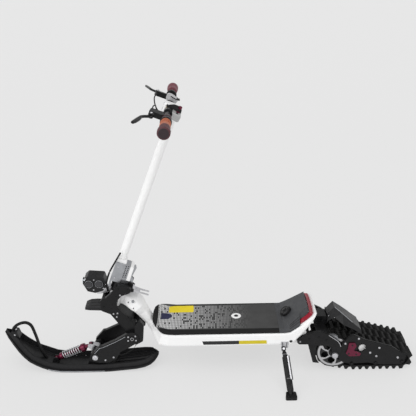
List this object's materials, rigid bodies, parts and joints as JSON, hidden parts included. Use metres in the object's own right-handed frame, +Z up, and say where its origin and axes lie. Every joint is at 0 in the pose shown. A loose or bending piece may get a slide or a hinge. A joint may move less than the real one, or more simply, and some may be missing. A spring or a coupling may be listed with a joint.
{
  "type": "all-terrain electric scooter",
  "caption": "Stand-on electric scooter with a steerable front ski, a folding stem, a padded deck and a driven rear crawler track.",
  "frame": {"origin": "on the ground under the centre of the scooter's bounding box", "axes": "+X towards the rear track, +Y to the rider's right, +Z up"},
  "size_m": [1.652, 0.654, 1.1174],
  "materials": {
    "white_paint": "smooth satin white paint",
    "black_paint": "satin black coating",
    "black_plastic": "moulded, slightly grained",
    "rubber": "matt",
    "mat_rubber": "fine grained, matt",
    "steel": "plated",
    "alloy": "satin",
    "crimson_metal": "dark red anodised",
    "battery_wrap": "shrink wrap",
    "tail_light_red": "clear red moulding",
    "lens_clear": "clear",
    "grip_leather": "soft, fine grained",
    "display_grey": "glossy",
    "control_grey": "glossy"
  },
  "bodies": {
    "frame": {"frame_shell": "white_paint", "bottom_cover": "black_paint", "battery_pack": "battery_wrap", "motor_controller": "alloy", "deck_mat": "mat_rubber", "kick_tail_cover": "black_plastic", "tail_light": "tail_light_red", "charge_port_cap": "black_plastic", "kickstand_bracket": "alloy"},
    "steering": {"steering_collar": "black_paint", "fork_body": "black_paint", "fork_cable": "rubber", "front_fender": "black_plastic", "headlight_bracket": "black_paint", "headlight_case": "black_plastic", "headlight_lens": "lens_clear"},
    "latch": {"latch_lever": "steel"},
    "stem": {"fold_block": "alloy", "latch_plate": "white_paint", "safety_hook": "alloy", "stem_tube": "white_paint", "stem_clamp": "white_paint", "handlebar": "black_paint", "grip_left": "grip_leather", "grip_right": "grip_leather", "grip_collar": "black_plastic", "perch_left": "black_paint", "perch_right": "black_paint", "display_case": "display_grey", "control_box": "control_grey", "throttle_body": "black_plastic", "brake_hose_front": "rubber", "brake_hose_rear": "rubber"},
    "lever_left": {"brake_lever_left": "black_paint"},
    "lever_right": {"brake_lever_right": "black_paint"},
    "throttle": {"thumb_throttle": "black_plastic"},
    "kickstand": {"kickstand_leg": "black_paint"},
    "front_arms": {"front_arm_left": "black_paint", "front_arm_right": "black_paint", "ski_axle": "steel"},
    "ski": {"ski_shell": "black_plastic", "ski_loop": "black_paint", "ski_runner": "steel", "ski_mount": "black_paint"},
    "shock": {"shock_cylinder": "crimson_metal", "shock_spring": "black_paint"},
    "plunger": {"shock_rod": "crimson_metal"},
    "swing": {"swing_arm": "black_paint", "brake_caliper": "alloy", "drive_axle": "steel", "fin_block": "black_paint", "rear_fender": "black_plastic"},
    "track": {"track_plate_left": "black_paint", "track_plate_right": "black_paint", "track_belt": "rubber", "belt_tensioner": "crimson_metal"},
    "drive": {"drive_wheel": "black_paint"},
    "idler": {"rear_idler": "black_plastic"},
    "front_bogie": {"bogie_front": "black_plastic"},
    "rear_bogie": {"bogie_rear": "black_plastic"}
  },
  "joints": [
    {"name": "steering_turn", "type": "hinge", "parent": "frame", "child": "steering", "pos_m": [-0.343, 0, 0.379], "axis": [0.3584, 0, 0.9336], "range_deg": [-7, 7]},
    {"name": "stem_fold", "type": "hinge", "parent": "steering", "child": "stem", "pos_m": [-0.30093, 0, 0.38535], "axis": [0, 1, 0], "range_deg": [0, 70]},
    {"name": "latch_turn", "type": "hinge", "parent": "steering", "child": "latch", "pos_m": [-0.29589, 0, 0.35663], "axis": [0, 1, 0], "range_deg": [0, 25]},
    {"name": "left_lever_pull", "type": "hinge", "parent": "stem", "child": "lever_left", "pos_m": [-0.17272, -0.168, 1.09717], "axis": [0.3549, -0.1387, 0.9246], "range_deg": [0, 25], "stiffness_Nm_per_rad": 0.8, "springref_deg": -20.05},
    {"name": "right_lever_pull", "type": "hinge", "parent": "stem", "child": "lever_right", "pos_m": [-0.17272, 0.168, 1.09717], "axis": [-0.3549, -0.1387, -0.9246], "range_deg": [0, 25], "stiffness_Nm_per_rad": 0.8, "springref_deg": -20.05},
    {"name": "throttle_push", "type": "hinge", "parent": "stem", "child": "throttle", "pos_m": [-0.12252, -0.168, 1.08005], "axis": [0, 1, 0], "range_deg": [0, 28], "stiffness_Nm_per_rad": 0.1, "springref_deg": -20.05},
    {"name": "kickstand_swing", "type": "hinge", "parent": "frame", "child": "kickstand", "pos_m": [0.298, -0.1075, 0.126], "axis": [-0.08, -0.6998, 0.7098], "range_deg": [0, 76]},
    {"name": "front_suspension", "type": "hinge", "parent": "steering", "child": "front_arms", "pos_m": [-0.304, 0, 0.16], "axis": [0, 1, 0], "range_deg": [0, 8], "stiffness_Nm_per_rad": 150, "springref_deg": -11.46},
    {"name": "ski_rock", "type": "hinge", "parent": "front_arms", "child": "ski", "pos_m": [-0.458, 0, 0.074], "axis": [0, 1, 0], "range_deg": [-6, 8], "stiffness_Nm_per_rad": 40},
    {"name": "shock_turn", "type": "hinge", "parent": "front_arms", "child": "shock", "pos_m": [-0.487, 0, 0.09], "axis": [0, 1, 0], "range_deg": [-7, 9.5]},
    {"name": "shock_stroke", "type": "slide", "parent": "shock", "child": "plunger", "axis": [-0.9203, 0, -0.3913], "range_m": [-0.0045, 0.0035], "deforming": ["shock_spring"]},
    {"name": "rear_suspension", "type": "hinge", "parent": "frame", "child": "swing", "pos_m": [0.362, 0, 0.16], "axis": [0, 1, 0], "range_deg": [-4, 0], "stiffness_Nm_per_rad": 300, "springref_deg": 11.46},
    {"name": "track_rock", "type": "hinge", "parent": "swing", "child": "track", "pos_m": [0.503, 0, 0.092], "axis": [0, 1, 0], "range_deg": [-5, 5], "stiffness_Nm_per_rad": 40},
    {"name": "drive_spin", "type": "hinge", "parent": "swing", "child": "drive", "pos_m": [0.503, 0, 0.092], "axis": [0, 1, 0], "continuous": true},
    {"name": "idler_spin", "type": "hinge", "parent": "track", "child": "idler", "pos_m": [0.7784, 0, 0.048], "axis": [0, 1, 0], "continuous": true},
    {"name": "front_bogie_spin", "type": "hinge", "parent": "track", "child": "front_bogie", "pos_m": [0.575, 0, 0.042], "axis": [0, 1, 0], "continuous": true},
    {"name": "rear_bogie_spin", "type": "hinge", "parent": "track", "child": "rear_bogie", "pos_m": [0.672, 0, 0.042], "axis": [0, 1, 0], "continuous": true}
  ],
  "couplings": [
    {"joint": "shock_turn", "follows": "ski_rock", "ratio": 1.128},
    {"joint": "shock_stroke", "follows": "ski_rock", "m_per_rad": -0.02607},
    {"joint": "idler_spin", "follows": "drive_spin", "ratio": 1.9643},
    {"joint": "front_bogie_spin", "follows": "drive_spin", "ratio": 2.5},
    {"joint": "rear_bogie_spin", "follows": "drive_spin", "ratio": 2.5}
  ]
}
